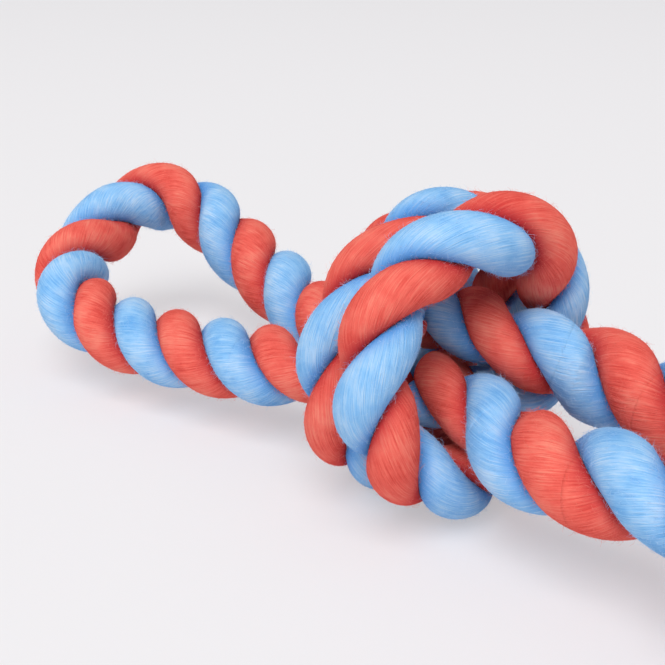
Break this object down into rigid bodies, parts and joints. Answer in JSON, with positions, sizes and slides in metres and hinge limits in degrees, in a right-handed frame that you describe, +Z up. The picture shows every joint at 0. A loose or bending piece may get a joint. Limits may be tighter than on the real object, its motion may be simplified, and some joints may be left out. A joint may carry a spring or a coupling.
{
  "type": "rope dog toy",
  "caption": "Cotton rope tug toy for dogs: a ring of red and blue laid rope bound at its middle by a ball of the same rope, leaving a hand loop on either side.",
  "frame": {"origin": "on the resting surface, under the middle of the toy's box", "axes": "+X along the toy from the left loop to the right loop, +Z up, -Y towards the near legs"},
  "size_m": [0.2837, 0.0773, 0.0731],
  "materials": {
    "red_cotton": "soft matte brushed cotton",
    "blue_cotton": "soft matte brushed cotton"
  },
  "bodies": {
    "knot": {"core_near_right_red": "red_cotton", "core_near_right_blue": "blue_cotton", "core_far_red": "red_cotton", "core_far_blue": "blue_cotton", "core_near_left_red": "red_cotton", "core_near_left_blue": "blue_cotton", "ball_rope_red": "red_cotton", "ball_rope_blue": "blue_cotton"},
    "left_neck": {"left_neck_near_red": "red_cotton", "left_neck_near_blue": "blue_cotton", "left_neck_far_red": "red_cotton", "left_neck_far_blue": "blue_cotton"},
    "left_loop": {"left_loop_red": "red_cotton", "left_loop_blue": "blue_cotton"},
    "right_neck": {"right_neck_near_red": "red_cotton", "right_neck_near_blue": "blue_cotton", "right_neck_far_red": "red_cotton", "right_neck_far_blue": "blue_cotton"},
    "right_loop": {"right_loop_red": "red_cotton", "right_loop_blue": "blue_cotton"}
  },
  "joints": [
    {"name": "left_lift", "type": "hinge", "parent": "knot", "child": "left_neck", "pos_m": [-0.032, 0.0007, 0.026], "axis": [0, 1, 0], "range_deg": [-35, 35], "stiffness_Nm_per_rad": 0.8, "deforming": ["left_neck_near_red", "left_neck_near_blue", "left_neck_far_red", "left_neck_far_blue"]},
    {"name": "left_swing", "type": "hinge", "parent": "left_neck", "child": "left_loop", "pos_m": [-0.0495, 0.0007, 0.024], "axis": [0, 0, 1], "range_deg": [-25, 25], "stiffness_Nm_per_rad": 0.8},
    {"name": "right_lift", "type": "hinge", "parent": "knot", "child": "right_neck", "pos_m": [0.0265, 0.0007, 0.03], "axis": [0, -1, 0], "range_deg": [-35, 35], "stiffness_Nm_per_rad": 0.8, "deforming": ["right_neck_near_red", "right_neck_near_blue", "right_neck_far_red", "right_neck_far_blue"]},
    {"name": "right_swing", "type": "hinge", "parent": "right_neck", "child": "right_loop", "pos_m": [0.0445, 0.0007, 0.028], "axis": [0, 0, 1], "range_deg": [-25, 25], "stiffness_Nm_per_rad": 0.8}
  ]
}
